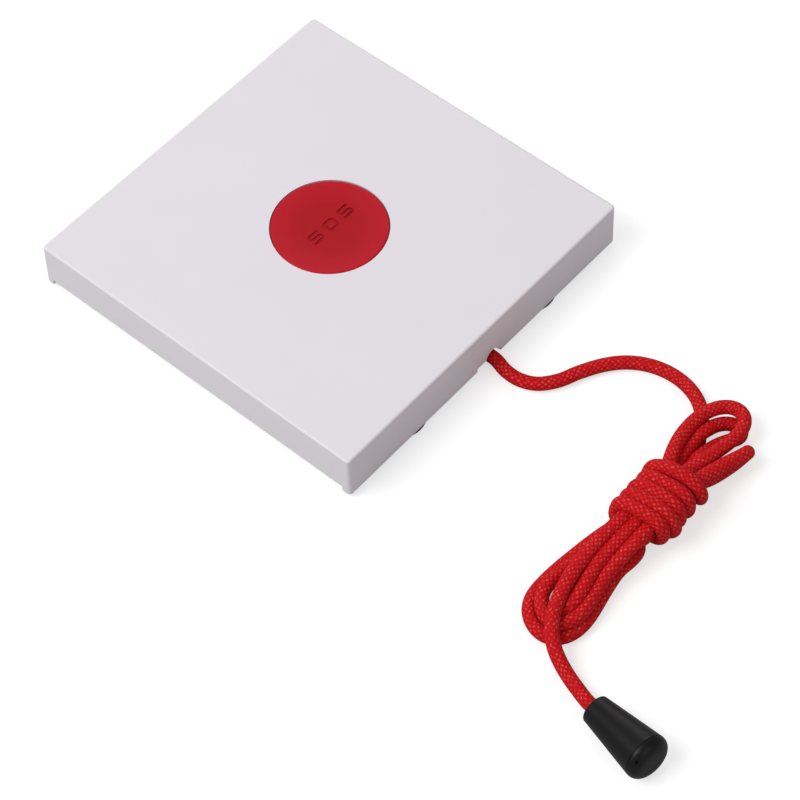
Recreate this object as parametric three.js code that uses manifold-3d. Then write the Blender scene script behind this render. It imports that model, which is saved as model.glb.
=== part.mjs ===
// Wall emergency button with pull cord, in millimetres.
// The back plate's feet stand on z = 0, +Z is out of the wall, and the cord leaves towards -Y.
import * as THREE from "three";
import { mergeVertices } from "three/addons/utils/BufferGeometryUtils.js";
import Module from "manifold-3d";

const wasm = await Module();
wasm.setup();

// Clearances
const slideGap = 0.3; // between a moving piece and what guides it
const touchGap = 0.05; // between pieces that lean on each other
const seatGap = 0.3; // between the cord's solids and what they meet
const fitGap = 0.4; // between the cover's walls and the back plate's rim
const past = 1; // how far a cut runs past what it opens
const sunk = 0.5; // how deep a wall or boss is sunk in what it grows from

// Feet and front cover
const footHeight = 1.2;
const footRadius = 6.5;
const footSpacingX = 42.4;
const coverSide = 86;
const coverHeight = 11.1;
const coverWall = 2;
const coverFace = 2;
const coverDraft = 0.18; // how much further out each wall stands at its lower edge
const coverCorner = 0.9;
const coverEdge = 0.45;
const reliefHeight = 1.3;
const reliefFromCorner = 1.9;

// Cord and its way out of the cover
const cordRadius = 1.5;
const cordX = 1.8;
const cordRestZ = 1.55; // height of the cord's middle where it lies on the surface
const notchWidth = 7.6;
const notchHeight = 1;
const notchX = 0.75;
const archHeight = 2.7;
const archGap = 0.5;

// Button
const buttonRadius = 12.65;
const buttonGap = 0.2;
const buttonDish = 0.35;
const buttonEdge = 0.4;
const buttonWall = 1.45;
const buttonTravel = 1.3;
const buttonFace = 1.9;
const flangeWidth = 1.35;
const flangeHeight = 0.6;
const keyWidth = 2.8;
const keyReach = 1.2;
const collarWall = 1.2;
const springBossRadius = 6;
const springBossWall = 0.8;

// Back plate
const plateFloor = 1.6;
const plateCorner = 1.2;
const rimWall = 1.5;
const rimHeight = 3.7;
const snapWidth = 8;
const snapReach = 1;
const snapHeight = 1.4;
const snapSpacing = 48;
const snapLift = 1.4; // from the back plate's floor to the snap's lower end
const wallHoleSpacing = 60.3; // screw pitch of the standard wall box
const wallHoleWidth = 4.2;
const wallHoleLength = 8;
const screwSeatWidth = 8.4;
const screwSeatDepth = 0.7;

// Circuit board and what it carries
const boardThickness = 1.6;
const boardFrontMargin = 7.6; // from the back plate's rim to the board, on the cord's side
const boardBackMargin = 2.6;
const boardScrewInset = 2.5;
const screwRadius = 1;
const screwHeadRadius = 1.9;
const screwHeadHeight = 1.3;
const screwLength = 3.8; // below the head
const crossLength = 2.2;
const crossWidth = 0.5;
const crossDepth = 0.6;
const bossRadius = 2.6;
const pilotGap = 0.12;
const pilotSpare = 0.4; // how far the pilot hole runs past the screw
const switchSide = 6.2;
const switchHeight = 2.8;
const switchCorner = 0.5;
const plungerRadius = 1.7;
const plungerGap = 0.2;
const plungerGuide = 0.8; // how deep the plunger stands in the switch at rest
const cellRadius = 10;
const cellHeight = 3.2;
const cellFromEdge = 0.9; // from the board's edge to the cell's holder
const cellFromCollar = 0.5; // from the button's collar to the cell's holder
const holderWall = 1;
const holderFloor = 0.5;
const holderHeight = 2.6;
const thumbWidth = 8; // gap in the holder's wall to get the cell out by
const clipWidth = 5;
const clipThickness = 0.3;
const clipGap = 0.2;
const clipFromCeiling = 0.3;
const canWidth = 14;
const canLength = 16;
const canHeight = 2.2;
const canCorner = 0.8;
const canFromEdge = 2.95;
const canFromCollar = -0.5;

// Pull slider and its switch
const sliderWidth = 8;
const sliderLength = 8;
const sliderHeight = 4.6;
const sliderFromY = -19.2;
const sliderCorner = 0.5;
const sliderTravel = 3;
const ribLength = 4;
const ribWidth = 5.6;
const guideWall = 1.2;
const guideHeight = 3.1;
const stopWall = 1.5;
const armReach = 7.7;
const armWidth = 2;
const armHeight = 1.9;
const pullSwitchWidth = 6;
const pullSwitchLength = 7.5;
const pullPlungerRadius = 1;
const pullPlungerLength = 6.3;
const pullPlungerFromTip = 1.5; // from the arm's tip to the plunger's middle
const knotRadius = 2.3;

// Springs
const wireRadius = 0.25;
const buttonSpringRadius = 5.2;
const buttonSpringTurns = 3.5;
const pullSpringRadius = 2.1;
const pullSpringTurns = 5;
const pullSpringLength = 7.6;

// Hank: two lobes of loops, and the barrel of turns round its waist
const hankRightX = 17.2;
const hankLeftX = -39.2;
const hankFromCover = 49.5; // from the cover's side to the hank's middle line
const hankLobeRadius = 7.3;
const hankWaist = 5;
const hankHeight = 6.6;
const hankBarrelX = -6.6;
const hankBarrelLength = 15.4;
const hankBarrelHalfWidth = 6.8;
const hankBarrelHalfHeight = 5.8;

// Pull end
const pullEndNarrowRadius = 3.1;
const pullEndWideRadius = 5.15;
const pullEndLength = 16.5;
const pullEndPlug = 2.3;
const pullEndWall = 1.1;
const pullEndNeck = 3.2;
const pullEndSpigot = 2.6;
const pullEndEdge = 0.35;
const seamEdge = 0.2;
const pullEndX = -50.6;
const pullEndFromHank = 18.95;
const pullEndHeading = THREE.MathUtils.degToRad(-100.6);
const endKnotRadius = 2.1;
const endKnotAt = 8.2;

// Levels that follow
const plateZ = footHeight;
const floorZ = plateZ + plateFloor;
const coverTopZ = footHeight + coverHeight;
const ceilingZ = coverTopZ - coverFace;
const cellTopZ = ceilingZ - clipFromCeiling - clipThickness;
const boardTopZ = cellTopZ - cellHeight - holderFloor;
const boardZ = boardTopZ - boardThickness;
const coverInside = coverSide / 2 - coverWall;
const plateHalf = coverInside - fitGap;
const rimInside = plateHalf - rimWall;
const exitY = -coverSide / 2;
const buttonUnderZ = coverTopZ - buttonFace;
const flangeTopZ = ceilingZ - slideGap;
const flangeZ = flangeTopZ - flangeHeight;
const flangeRadius = buttonRadius + flangeWidth;
const collarRadius = flangeRadius + slideGap + collarWall;
const collarZ = flangeZ - buttonTravel + slideGap * 0.5;
const sliderZ = floorZ + slideGap;
const sliderTopZ = sliderZ + sliderHeight;
const sliderToY = sliderFromY + sliderLength;
const cordPullZ = floorZ + slideGap + pullSpringRadius + wireRadius + touchGap;
const pullSpringFromY = sliderFromY - 2 * touchGap - pullSpringLength;
const stopToY = pullSpringFromY - 2 * touchGap;
const stopFromY = stopToY - stopWall;
const knotY = sliderToY + seatGap + knotRadius;
const switchTopZ = boardTopZ + switchHeight;
const boardHalfX = (wallHoleSpacing - screwSeatWidth) / 2;
const boardFromY = -rimInside + boardFrontMargin;
const boardToY = rimInside - boardBackMargin;
const holderRadius = cellRadius + clipGap + holderWall;
const cellX = -boardHalfX + cellFromEdge + holderRadius;
const cellY = Math.sqrt((collarRadius + cellFromCollar + holderRadius) ** 2 - cellX ** 2);
const canX = boardHalfX - canFromEdge - canWidth / 2;
const canY = collarRadius + canFromCollar + canLength / 2;
const hankY = exitY - hankFromCover;
const pullEndY = hankY - pullEndFromHank;

// Colours and finishes
function finish(color, roughness, metalness = 0) {
  return new THREE.MeshStandardMaterial({ color, roughness, metalness });
}
const whitePlastic = () => finish("#e9e5ea", 0.45);
const basePlastic = () => finish("#e2dfe2", 0.55);
const redPlastic = () => finish("#b0232c", 0.4);
const redBraid = () => finish("#c8181a", 0.85);
const blackRubber = () => finish("#1b1a1c", 0.7);
const blackPlastic = () => finish("#1a181b", 0.42);
const boardGreen = () => finish("#1f5b3a", 0.5);
const steel = () => finish("#b9babc", 0.32, 1);
const springSteel = () => finish("#8f9194", 0.35, 1);

const root = new THREE.Group();

// A geometry as a solid, with its faces turned outwards.
function solid(geometry) {
  const bare = geometry.clone();
  bare.deleteAttribute("normal");
  bare.deleteAttribute("uv");
  const merged = mergeVertices(bare, 1e-4);
  const corners = [];
  for (let i = 0; i < merged.index.count; i += 3) {
    const [a, b, c] = [0, 1, 2].map((k) => merged.index.getX(i + k));
    if (a !== b && b !== c && c !== a) corners.push(a, b, c);
  }
  const make = (order) =>
    new wasm.Manifold(
      new wasm.Mesh({
        numProp: 3,
        vertProperties: merged.attributes.position.array,
        triVerts: new Uint32Array(order),
      }),
    );
  const made = make(corners);
  return made.volume() > 0 ? made : make(corners.slice().reverse());
}

function geometryOf(body) {
  const mesh = body.getMesh();
  const geometry = new THREE.BufferGeometry();
  geometry.setAttribute("position", new THREE.BufferAttribute(mesh.vertProperties, 3));
  geometry.setIndex(new THREE.BufferAttribute(mesh.triVerts, 1));
  geometry.computeVertexNormals();
  return geometry;
}

// A solid turned about Z by an angle in degrees, then shifted.
function moved(body, [x, y, z], angle = 0) {
  const geometry = geometryOf(body).rotateZ(THREE.MathUtils.degToRad(angle));
  return solid(geometry.translate(x, y, z));
}

function addPiece(name, body, material, parent = root) {
  const mesh = new THREE.Mesh(geometryOf(body), material);
  mesh.name = name;
  parent.add(mesh);
  return mesh;
}

// A block between two corners.
function block(x, y, z) {
  const geometry = new THREE.BoxGeometry(x[1] - x[0], y[1] - y[0], z[1] - z[0]);
  return solid(geometry.translate((x[0] + x[1]) / 2, (y[0] + y[1]) / 2, (z[0] + z[1]) / 2));
}

function roundedRect(halfX, halfY, radius) {
  const shape = new THREE.Shape();
  shape.moveTo(-halfX + radius, -halfY);
  shape.lineTo(halfX - radius, -halfY);
  shape.absarc(halfX - radius, -halfY + radius, radius, -Math.PI / 2, 0);
  shape.lineTo(halfX, halfY - radius);
  shape.absarc(halfX - radius, halfY - radius, radius, 0, Math.PI / 2);
  shape.lineTo(-halfX + radius, halfY);
  shape.absarc(-halfX + radius, halfY - radius, radius, Math.PI / 2, Math.PI);
  shape.lineTo(-halfX, -halfY + radius);
  shape.absarc(-halfX + radius, -halfY + radius, radius, Math.PI, Math.PI * 1.5);
  return shape;
}

// A flat shape raised from one height to another.
function raised(shape, z, curveSegments = 4) {
  const geometry = new THREE.ExtrudeGeometry(shape, {
    depth: z[1] - z[0],
    bevelEnabled: false,
    curveSegments,
  });
  return solid(geometry.translate(0, 0, z[0]));
}

function disc(radius, z, x = 0, y = 0, sides = 32) {
  const geometry = new THREE.CylinderGeometry(radius, radius, z[1] - z[0], sides);
  return solid(geometry.rotateX(Math.PI / 2).translate(x, y, (z[0] + z[1]) / 2));
}

// A rod along Y.
function rodY(radius, y, x, z, sides = 24) {
  const geometry = new THREE.CylinderGeometry(radius, radius, y[1] - y[0], sides);
  return solid(geometry.translate(x, (y[0] + y[1]) / 2, z));
}

// A profile of [radius, height] points turned round the Z axis.
function turned(profile, sides) {
  const points = profile.map(([r, z]) => new THREE.Vector2(r, z));
  return solid(new THREE.LatheGeometry(points, sides).rotateX(Math.PI / 2));
}

function regular(radius, sides) {
  const shape = new THREE.Shape();
  for (let i = 0; i < sides; i++) {
    const angle = (i * 2 * Math.PI) / sides;
    const move = i ? "lineTo" : "moveTo";
    shape[move](radius * Math.cos(angle), radius * Math.sin(angle));
  }
  return shape;
}

// A round section carried along a curve.
function carried(curve, radius, sides, steps) {
  return solid(
    new THREE.ExtrudeGeometry(regular(radius, sides), { extrudePath: curve, steps, bevelEnabled: false }),
  );
}

// A coil spring along Z, from its first height to its second.
class Coil extends THREE.Curve {
  constructor(radius, from, to, turns) {
    super();
    Object.assign(this, { radius, from, to, turns });
  }
  getPoint(t, target = new THREE.Vector3()) {
    const angle = t * this.turns * 2 * Math.PI;
    const height = this.from + t * (this.to - this.from);
    return target.set(this.radius * Math.cos(angle), this.radius * Math.sin(angle), height);
  }
}

function coilSpring(radius, from, to, turns) {
  const curve = new Coil(radius, from + wireRadius, to - wireRadius, turns);
  return carried(curve, wireRadius, 6, Math.round(turns * 10));
}

// The four sides of the housing: what is made for the -Y side, turned to each.
function onEachSide(body) {
  return [0, 90, 180, 270].map((angle) => moved(body, [0, 0, 0], angle));
}

// One snap wedge on the inside of the -Y wall, sloped below so that it rides over the rim.
function snapWedge(x) {
  const rise = floorZ + snapLift;
  const profile = new THREE.Shape();
  const wallY = -coverInside - sunk;
  profile.moveTo(wallY, rise);
  profile.lineTo(-coverInside, rise);
  profile.lineTo(-coverInside + snapReach, rise + snapHeight * 0.7);
  profile.lineTo(-coverInside + snapReach, rise + snapHeight);
  profile.lineTo(wallY, rise + snapHeight);
  const geometry = new THREE.ExtrudeGeometry(profile, { depth: snapWidth, bevelEnabled: false });
  geometry.rotateY(Math.PI / 2).rotateX(Math.PI / 2);
  return solid(geometry.translate(x - snapWidth / 2, 0, 0));
}

// Front cover: a square shell with crisp, slightly rounded edges and walls that lean out a little.
function makeCover() {
  const half = coverSide / 2;
  const bevelled = new THREE.ExtrudeGeometry(
    roundedRect(half - coverEdge, half - coverEdge, coverCorner - coverEdge),
    {
      depth: coverHeight,
      bevelThickness: coverEdge,
      bevelSize: coverEdge,
      bevelSegments: 3,
      curveSegments: 4,
    },
  );
  bevelled.translate(0, 0, coverTopZ - coverHeight - coverEdge);
  const place = bevelled.attributes.position;
  for (let i = 0; i < place.count; i++) {
    const lean = 1 + (coverDraft / half) * ((coverTopZ - place.getZ(i)) / coverHeight);
    place.setXY(i, place.getX(i) * lean, place.getY(i) * lean);
  }
  let cover = solid(bevelled);
  cover = cover.subtract(block([-half * 2, half * 2], [-half * 2, half * 2], [-coverHeight, footHeight]));
  const cavity = roundedRect(coverInside, coverInside, coverCorner * 0.5);
  cover = cover.subtract(raised(cavity, [0, ceilingZ]));

  // Collar that guides the button's flange, with a keyway on each side and a way for the pull slider
  const deep = ceilingZ + sunk;
  let collar = disc(collarRadius, [collarZ, deep], 0, 0, 72);
  collar = collar.subtract(disc(collarRadius - collarWall, [collarZ - past, deep + past], 0, 0, 72));
  const keyway = keyWidth / 2 + slideGap;
  collar = collar.subtract(block([-half, half], [-keyway, keyway], [collarZ - past, ceilingZ]));
  const sliderHalf = sliderWidth / 2 + slideGap;
  collar = collar.subtract(
    block([cordX - sliderHalf, cordX + sliderHalf], [-half, 0], [collarZ - past, ceilingZ]),
  );
  cover = cover.add(collar);

  // Rib that keeps the pull slider down
  const ribY = [sliderFromY - ribLength / 2, sliderFromY + ribLength / 2];
  const ribX = [cordX - ribWidth / 2, cordX + ribWidth / 2];
  cover = cover.add(block(ribX, ribY, [sliderTopZ + slideGap, deep]));
  onEachSide(snapWedge(-snapSpacing / 2).add(snapWedge(snapSpacing / 2))).forEach((wedges) => {
    cover = cover.add(wedges);
  });
  cover = cover.subtract(disc(buttonRadius + buttonGap, [ceilingZ, coverTopZ + past], 0, 0, 72));

  // Low relief along the lower edge of the two sides beside the cord's side
  const reliefY = half - reliefFromCorner;
  const reliefX = [coverInside - past, half + past];
  const relief = block(reliefX, [-reliefY, reliefY], [0, footHeight + reliefHeight]);
  cover = cover.subtract(relief).subtract(moved(relief, [0, 0, 0], 180));

  // Notch in the cord's side, with an arch over the cord
  const outY = [-half - past, -coverInside + fitGap / 2];
  cover = cover.subtract(
    block([notchX - notchWidth / 2, notchX + notchWidth / 2], outY, [0, footHeight + notchHeight]),
  );
  const archRadius = cordRadius + archGap;
  const archMiddle = footHeight + archHeight - archRadius;
  cover = cover.subtract(rodY(archRadius, outY, cordX, archMiddle, 32));
  return cover.subtract(block([cordX - archRadius, cordX + archRadius], outY, [0, archMiddle]));
}

// A slot along Y with round ends.
function slot(width, length, z, x) {
  const shape = new THREE.Shape();
  const straight = (length - width) / 2;
  shape.absarc(0, straight, width / 2, 0, Math.PI);
  shape.absarc(0, -straight, width / 2, Math.PI, 2 * Math.PI);
  return moved(raised(shape, z, 12), [x, 0, 0]);
}

// Back plate: floor, rim with snap windows, screw bosses, wall screw slots and the pull slider's guide.
function makeBackPlate() {
  const rimTop = floorZ + rimHeight;
  let plate = raised(roundedRect(plateHalf, plateHalf, plateCorner), [plateZ, rimTop]);
  const tray = roundedRect(rimInside, rimInside, plateCorner * 0.5);
  plate = plate.subtract(raised(tray, [floorZ, rimTop + past]));

  const windowZ = [floorZ + snapLift - slideGap, floorZ + snapLift + snapHeight + slideGap];
  const windowHalf = snapWidth / 2 + slideGap;
  const snapX = snapSpacing / 2;
  const windowY = [-plateHalf - past, -rimInside + fitGap / 2];
  const windows = block([snapX - windowHalf, snapX + windowHalf], windowY, windowZ);
  onEachSide(windows.add(moved(windows, [-snapSpacing, 0, 0]))).forEach((cut) => {
    plate = plate.subtract(cut);
  });

  [-1, 1].forEach((side) => {
    const x = (side * wallHoleSpacing) / 2;
    const seatLength = wallHoleLength + screwSeatWidth - wallHoleWidth;
    plate = plate.subtract(slot(wallHoleWidth, wallHoleLength, [plateZ - past, floorZ + past], x));
    plate = plate.subtract(slot(screwSeatWidth, seatLength, [floorZ - screwSeatDepth, floorZ + past], x));
  });

  const pilotZ = [boardTopZ - screwLength - pilotSpare, boardZ + past];
  boardScrewPlaces.forEach(([x, y]) => {
    plate = plate.add(disc(bossRadius, [floorZ - sunk, boardZ], x, y, 24));
    plate = plate.subtract(disc(screwRadius + pilotGap, pilotZ, x, y, 16));
  });

  // Guide walls beside the slider, and the stop that its spring leans on
  const guideInside = sliderWidth / 2 + slideGap;
  const guideOutside = guideInside + guideWall;
  const guideTop = floorZ + guideHeight;
  [-1, 1].forEach((side) => {
    const x = [cordX + side * guideInside, cordX + side * guideOutside].sort((a, b) => a - b);
    plate = plate.add(block(x, [stopFromY, sliderToY], [floorZ - sunk, guideTop]));
  });
  const cordWay = cordRadius + slideGap;
  const stopTop = cordPullZ + cordWay;
  const stopX = [cordX - guideOutside, cordX + guideOutside];
  plate = plate.add(block(stopX, [stopFromY, stopToY], [floorZ - sunk, stopTop]));
  const wayX = [cordX - cordWay, cordX + cordWay];
  const wayY = [stopFromY - past, stopToY + past];
  plate = plate.subtract(block(wayX, wayY, [cordPullZ - cordWay, stopTop + past]));

  // Slot through the floor and rim where the cord dips to the outside
  const dipWay = cordRadius + 2 * slideGap;
  const dipX = [cordX - dipWay, cordX + dipWay];
  const dipY = [-plateHalf - past, stopFromY - slideGap];
  return plate.subtract(block(dipX, dipY, [plateZ - past, rimTop + past]));
}

// Two screws on the cord's side of the board, and one between the cell and the can.
const boardScrewPlaces = [
  [-boardHalfX + boardScrewInset, boardFromY + boardScrewInset],
  [boardHalfX - boardScrewInset, boardFromY + boardScrewInset],
  [(cellX + holderRadius + canX - canWidth / 2) / 2, boardToY - boardScrewInset],
];

function makeBoard() {
  let board = block([-boardHalfX, boardHalfX], [boardFromY, boardToY], [boardZ, boardTopZ]);
  const wayHalf = sliderWidth / 2 + slideGap + guideWall + fitGap;
  const wayX = [cordX - wayHalf, cordX + wayHalf];
  const wayY = [boardFromY - past, knotY + knotRadius + seatGap];
  const through = [boardZ - past, boardTopZ + past];
  board = board.subtract(block(wayX, wayY, through));
  boardScrewPlaces.forEach(([x, y]) => {
    board = board.subtract(disc(screwRadius + 2 * pilotGap, through, x, y, 16));
  });
  return board;
}

function makeScrew(x, y) {
  const headTop = boardTopZ + screwHeadHeight;
  const profile = [
    [0, boardTopZ - screwLength],
    [screwRadius, boardTopZ - screwLength],
    [screwRadius, boardTopZ],
    [screwHeadRadius, boardTopZ],
    [screwHeadRadius, headTop - screwHeadHeight * 0.4],
    [screwHeadRadius * 0.7, headTop],
    [0, headTop],
  ];
  let screw = turned(profile, 20);
  [0, 90].forEach((angle) => {
    const crossX = [-crossLength / 2, crossLength / 2];
    const crossY = [-crossWidth / 2, crossWidth / 2];
    const cross = block(crossX, crossY, [headTop - crossDepth, headTop + past]);
    screw = screw.subtract(moved(cross, [0, 0, 0], angle));
  });
  return moved(screw, [x, y, 0]);
}

// Push switch on the board, under the middle of the cap, and its plunger.
function makePushSwitch() {
  const half = switchSide / 2;
  const body = raised(roundedRect(half, half, switchCorner), [boardTopZ, switchTopZ]);
  const deep = switchTopZ - plungerGuide - buttonTravel - slideGap;
  return body.subtract(disc(plungerRadius + plungerGap, [deep, switchTopZ + past], 0, 0, 32));
}

// Button cap: shallow dish in its face, thin wall down to the flange, keys and the spring's boss.
function makeButtonCap() {
  const inside = buttonRadius - buttonWall;
  const bossOutside = springBossRadius + springBossWall;
  const profile = [
    [0, buttonUnderZ],
    [springBossRadius, buttonUnderZ],
    [springBossRadius, flangeZ],
    [bossOutside, flangeZ],
    [bossOutside, buttonUnderZ],
    [inside, buttonUnderZ],
    [inside, flangeZ],
    [flangeRadius, flangeZ],
    [flangeRadius, flangeTopZ],
    [buttonRadius, flangeTopZ],
  ];
  for (let i = 0; i <= 2; i++) {
    const angle = (i * Math.PI) / 4;
    profile.push([
      buttonRadius - buttonEdge * (1 - Math.cos(angle)),
      coverTopZ - buttonEdge * (1 - Math.sin(angle)),
    ]);
  }
  const rim = buttonRadius - buttonEdge;
  for (let i = 3; i >= 0; i--) {
    const share = i / 4;
    profile.push([rim * share, coverTopZ - buttonDish * (1 - share * share)]);
  }
  let cap = turned(profile, 72);
  const reach = flangeRadius + keyReach;
  [[-reach, -flangeRadius + sunk], [flangeRadius - sunk, reach]].forEach((x) => {
    cap = cap.add(block(x, [-keyWidth / 2, keyWidth / 2], [flangeZ, flangeTopZ]));
  });
  return cap;
}

// Slider that the cord pulls, with the arm that works the pull switch.
function makeSlider() {
  const half = sliderWidth / 2;
  let slider = raised(roundedRect(half, sliderLength / 2, sliderCorner), [sliderZ, sliderTopZ]);
  slider = moved(slider, [cordX, sliderFromY + sliderLength / 2, 0]);
  const armTop = boardTopZ + slideGap + armHeight;
  const armY = [sliderFromY + slideGap, sliderFromY + slideGap + armWidth];
  const armX = [cordX + half - sunk, cordX + half + armReach];
  slider = slider.add(block(armX, armY, [boardTopZ + slideGap, armTop]));
  const through = [sliderFromY - past, sliderToY + past];
  return slider.subtract(rodY(cordRadius + slideGap, through, cordX, cordPullZ));
}

const pullSwitchX = cordX + sliderWidth / 2 + armReach - pullPlungerFromTip;
const pullPlungerZ = boardTopZ + slideGap + pullPlungerRadius;
const pullPlungerTipY = sliderFromY + slideGap;
const pullSwitchFrontY = pullPlungerTipY - sliderTravel - 2 * slideGap;

function makePullSwitch() {
  const half = pullSwitchWidth / 2;
  const y = [pullSwitchFrontY - pullSwitchLength, pullSwitchFrontY];
  const body = block([pullSwitchX - half, pullSwitchX + half], y, [boardTopZ, switchTopZ]);
  const deep = pullPlungerTipY - pullPlungerLength - sliderTravel - slideGap;
  const boreRadius = pullPlungerRadius + plungerGap;
  return body.subtract(rodY(boreRadius, [deep, pullSwitchFrontY + past], pullSwitchX, pullPlungerZ));
}

// Coin cell: a wide can with a smaller, lower lid.
function makeCell() {
  const top = cellTopZ;
  const foot = top - cellHeight;
  const profile = [
    [0, foot],
    [cellRadius - 1.4, foot],
    [cellRadius - 1.1, foot + 0.4],
    [cellRadius - 0.3, foot + 0.4],
    [cellRadius, foot + 0.7],
    [cellRadius, top - 0.3],
    [cellRadius - 0.3, top],
    [0, top],
  ];
  return moved(turned(profile, 36), [cellX, cellY, 0]);
}

function makeHolder() {
  const inside = holderRadius - holderWall;
  const z = [boardTopZ, boardTopZ + holderHeight];
  let holder = disc(holderRadius, z, cellX, cellY, 48);
  holder = holder.subtract(disc(inside, [boardTopZ + holderFloor, z[1] + past], cellX, cellY, 48));
  const thumbX = [cellX - thumbWidth / 2, cellX + thumbWidth / 2];
  const thumbY = [cellY, cellY + holderRadius + past];
  return holder.subtract(block(thumbX, thumbY, [boardTopZ + 2 * holderFloor, z[1] + past]));
}

// Contact clip: a strap over the cell, folded down to the board on both sides.
function makeClip() {
  const reach = holderRadius + clipGap;
  const outer = reach + clipThickness;
  const under = cellTopZ;
  const y = [cellY - clipWidth / 2, cellY + clipWidth / 2];
  const strap = block([cellX - outer, cellX + outer], y, [boardTopZ, under + clipThickness]);
  const arch = [y[0] - past, y[1] + past];
  return strap.subtract(block([cellX - reach, cellX + reach], arch, [boardTopZ - past, under]));
}

function makeCan() {
  const outline = roundedRect(canWidth / 2, canLength / 2, canCorner);
  return moved(raised(outline, [boardTopZ, boardTopZ + canHeight]), [canX, canY, 0]);
}

// The cord's middle line from the slider to the hank: level behind the stop, down to the outside in
// shares of the way and of the fall, then lying loose, measured from where it leaves the cover.
const cordDip = [
  [0.06, 0.03],
  [0.34, 0.28],
  [0.68, 0.77],
];
const cordLoose = [
  [0, 4.8, 0.1],
  [0, 1.6, 0],
  [-0.1, -1.2, 0],
  [-1, -4.6, 0],
  [-1, -8.1, 0],
  [0.5, -11.6, 0],
  [3.9, -14.5, 0],
  [8.4, -16.5, 0],
  [12.8, -18.7, 0],
  [16.8, -22, 0],
  [19.6, -26.6, 0],
  [20.7, -32, 0],
  [20.1, -36.9, 0],
  [17.9, -42.05, 0],
];
const dipToY = exitY + cordLoose[0][1];
const cordRun = [
  [cordX, sliderToY, cordPullZ],
  [cordX, stopToY, cordPullZ],
  ...cordDip.map(([along, fall]) => [
    cordX,
    stopFromY + (dipToY - stopFromY) * along,
    cordPullZ + (cordRestZ - cordPullZ) * fall,
  ]),
  ...cordLoose.map(([x, y, z]) => [cordX + x, exitY + y, cordRestZ + z]),
];

// The pull end lies on its side, so its axis climbs by half the cone's angle.
const coneSlope = (pullEndWideRadius - pullEndNarrowRadius) / pullEndLength;
const climb = Math.asin(coneSlope);
const pullEndAxis = new THREE.Vector3(
  Math.cos(pullEndHeading) * Math.cos(climb),
  Math.sin(pullEndHeading) * Math.cos(climb),
  Math.sin(climb),
);
const pullEndMouth = new THREE.Vector3(pullEndX, pullEndY, pullEndNarrowRadius + touchGap / 2);
const onPullEndAxis = (at) => pullEndMouth.clone().addScaledVector(pullEndAxis, at).toArray();

// From the hank's far lobe over its edge, down to the surface and up to the knot in the pull end.
const tailLoose = [
  [-46.2, -4.8, 4.7],
  [-47.1, -7.2, 3.3],
  [-47.8, -10.3, 2],
  [-48.8, -13.7, 1.9],
];
const cordTail = [
  ...tailLoose.map(([x, y, z]) => [x, hankY + y, z]),
  onPullEndAxis(-2.6),
  onPullEndAxis(0),
  onPullEndAxis(2.4),
  onPullEndAxis(endKnotAt - endKnotRadius - seatGap),
];

function smooth(points) {
  const places = points.map(([x, y, z]) => new THREE.Vector3(x, y, z));
  return new THREE.CatmullRomCurve3(places, false, "centripetal");
}

// Hank: two round lobes drawn in to a waist, and the barrel of turns round it.
function makeHank() {
  const shape = new THREE.Shape();
  const middle = hankBarrelX;
  const radius = hankLobeRadius;
  shape.absarc(hankRightX, hankY, radius, -Math.PI / 2, Math.PI / 2);
  shape.quadraticCurveTo(middle + radius, hankY + radius, middle, hankY + hankWaist);
  shape.quadraticCurveTo(middle - radius, hankY + radius, hankLeftX, hankY + radius);
  shape.absarc(hankLeftX, hankY, radius, Math.PI / 2, Math.PI * 1.5);
  shape.quadraticCurveTo(middle - radius, hankY - radius, middle, hankY - hankWaist);
  shape.quadraticCurveTo(middle + radius, hankY - radius, hankRightX, hankY - radius);
  const barrel = new THREE.CylinderGeometry(1, 1, hankBarrelLength, 28);
  barrel.rotateZ(Math.PI / 2).scale(1, hankBarrelHalfWidth, hankBarrelHalfHeight);
  barrel.translate(hankBarrelX, hankY, hankBarrelHalfHeight + touchGap);
  return raised(shape, [0, hankHeight], 10).add(solid(barrel));
}

// Pull end, along its own axis: a cone bored for the cord, and a domed plug in its wide end.
const coneRadius = (at) => pullEndNarrowRadius + coneSlope * at;
const coneMouth = pullEndLength - pullEndPlug;

function makePullEnd() {
  const bore = cordRadius + slideGap;
  const profile = [
    [bore, 0],
    [pullEndNarrowRadius - pullEndEdge, 0],
    [pullEndNarrowRadius, pullEndEdge],
    [coneRadius(coneMouth), coneMouth - seamEdge],
    [coneRadius(coneMouth) - seamEdge, coneMouth],
    [coneRadius(coneMouth) - pullEndWall, coneMouth],
    [coneRadius(pullEndNeck) - pullEndWall, pullEndNeck],
    [bore, pullEndNeck],
    [bore, 0],
  ];
  return turned(profile, 32);
}

function makePullEndPlug() {
  const from = coneMouth + touchGap;
  const spigot = coneRadius(coneMouth - pullEndSpigot) - pullEndWall - 2 * touchGap;
  const wide = coneRadius(coneMouth);
  const profile = [
    [0, from - pullEndSpigot],
    [spigot, from - pullEndSpigot],
    [spigot, from],
    [wide - seamEdge, from],
  ];
  const domeFrom = from + seamEdge;
  for (let i = 0; i <= 5; i++) {
    const angle = (i * Math.PI) / 10;
    profile.push([
      wide * Math.cos(angle) ** 0.6,
      domeFrom + (pullEndLength - domeFrom) * Math.sin(angle),
    ]);
  }
  profile[profile.length - 1][0] = 0;
  return turned(profile, 32);
}

function makeKnot(radius) {
  return solid(new THREE.SphereGeometry(radius, 16, 10));
}

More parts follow.
